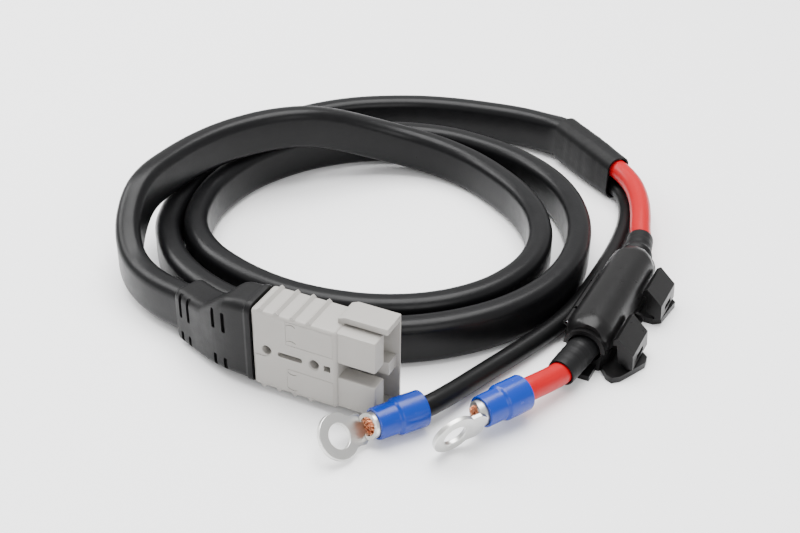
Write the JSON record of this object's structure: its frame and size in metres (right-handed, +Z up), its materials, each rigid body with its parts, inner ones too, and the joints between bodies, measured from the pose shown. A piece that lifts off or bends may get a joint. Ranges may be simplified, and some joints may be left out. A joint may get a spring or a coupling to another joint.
{
  "type": "solar cable connector",
  "caption": "Black flat twin cable in loose turns from a grey genderless power connector to red and black leads with ring terminals, the red one fused in line.",
  "frame": {"origin": "bottom centre of the grey connector housing, on the surface it stands on", "axes": "+X is the mating direction, +Z up across the housing's width, +Y from the near broad face to the far one"},
  "size_m": [0.2056, 0.2342, 0.0366],
  "materials": {
    "housing_grey": "fine moulded texture",
    "boot_black": "satin",
    "sheath_black": "satin PVC",
    "shrink_black": "matt",
    "core_red": "satin",
    "core_black": "satin",
    "holder_black": "satin moulded",
    "terminal_blue": "gloss nylon",
    "tinned_copper": "tin plate",
    "bare_copper": "bare copper strands",
    "silver_plate": "silver plate",
    "spring_steel": "stainless",
    "zinc_steel": "zinc plate",
    "fuse_amber": "translucent look, kept opaque"
  },
  "bodies": {
    "lead_assembly": {"connector_housing": "housing_grey", "core_end_upper": "core_red", "core_end_lower": "core_black", "strain_relief_boot": "boot_black", "twin_cable": "sheath_black", "breakout_sleeve": "shrink_black", "red_lead": "core_red", "black_lead": "core_black", "red_tail": "core_red", "holder_shrink_entry": "shrink_black", "holder_shrink_exit": "shrink_black", "fuse_base": "holder_black", "lid_hinge_pin": "zinc_steel", "fuse_body": "fuse_amber", "fuse_blade": "tinned_copper", "fuse_stud_entry": "zinc_steel", "fuse_washer_entry": "spring_steel", "fuse_nut_entry": "zinc_steel", "lead_lug_entry": "tinned_copper", "fuse_stud_exit": "zinc_steel", "fuse_washer_exit": "spring_steel", "fuse_nut_exit": "zinc_steel", "lead_lug_exit": "tinned_copper", "ring_terminal_black": "tinned_copper", "terminal_sleeve_black": "terminal_blue", "terminal_strands_black": "bare_copper", "ring_terminal_red": "tinned_copper", "terminal_sleeve_red": "terminal_blue", "terminal_strands_red": "bare_copper"},
    "lid": {"fuse_lid": "holder_black"},
    "latch_far": {"fuse_latch_far": "holder_black"},
    "latch_near": {"fuse_latch_near": "holder_black"},
    "contact_upper": {"contact_upper": "silver_plate", "strands_upper": "bare_copper"},
    "contact_lower": {"contact_lower": "silver_plate", "strands_lower": "bare_copper"},
    "spring_upper": {"contact_spring_upper": "spring_steel"},
    "spring_lower": {"contact_spring_lower": "spring_steel"}
  },
  "joints": [
    {"name": "lid_hinge", "type": "hinge", "parent": "lead_assembly", "child": "lid", "pos_m": [0.0621, 0.08209, 0.0093], "axis": [-0.0087, -1, 0], "range_deg": [0, 65]},
    {"name": "latch_far_flex", "type": "hinge", "parent": "lid", "child": "latch_far", "pos_m": [0.08274, 0.09741, 0.0129], "axis": [-0.0087, -1, 0], "range_deg": [0, 22], "stiffness_Nm_per_rad": 0.02},
    {"name": "latch_near_flex", "type": "hinge", "parent": "lid", "child": "latch_near", "pos_m": [0.08244, 0.06391, 0.0129], "axis": [-0.0087, -1, 0], "range_deg": [0, 22], "stiffness_Nm_per_rad": 0.02},
    {"name": "contact_upper_float", "type": "hinge", "parent": "lead_assembly", "child": "contact_upper", "pos_m": [-0.0158, -0.00095, 0.0272], "axis": [0, 0, -1], "range_deg": [0, 0.5], "stiffness_Nm_per_rad": 2},
    {"name": "spring_upper_flex", "type": "hinge", "parent": "lead_assembly", "child": "spring_upper", "pos_m": [-0.0038, -0.00445, 0.0272], "axis": [0, 0, -1], "range_deg": [0, 2.6], "stiffness_Nm_per_rad": 0.3},
    {"name": "contact_lower_float", "type": "hinge", "parent": "lead_assembly", "child": "contact_lower", "pos_m": [-0.0158, -0.00095, 0.0094], "axis": [0, 0, -1], "range_deg": [0, 0.5], "stiffness_Nm_per_rad": 2},
    {"name": "spring_lower_flex", "type": "hinge", "parent": "lead_assembly", "child": "spring_lower", "pos_m": [-0.0038, -0.00445, 0.0094], "axis": [0, 0, -1], "range_deg": [0, 2.6], "stiffness_Nm_per_rad": 0.3}
  ]
}
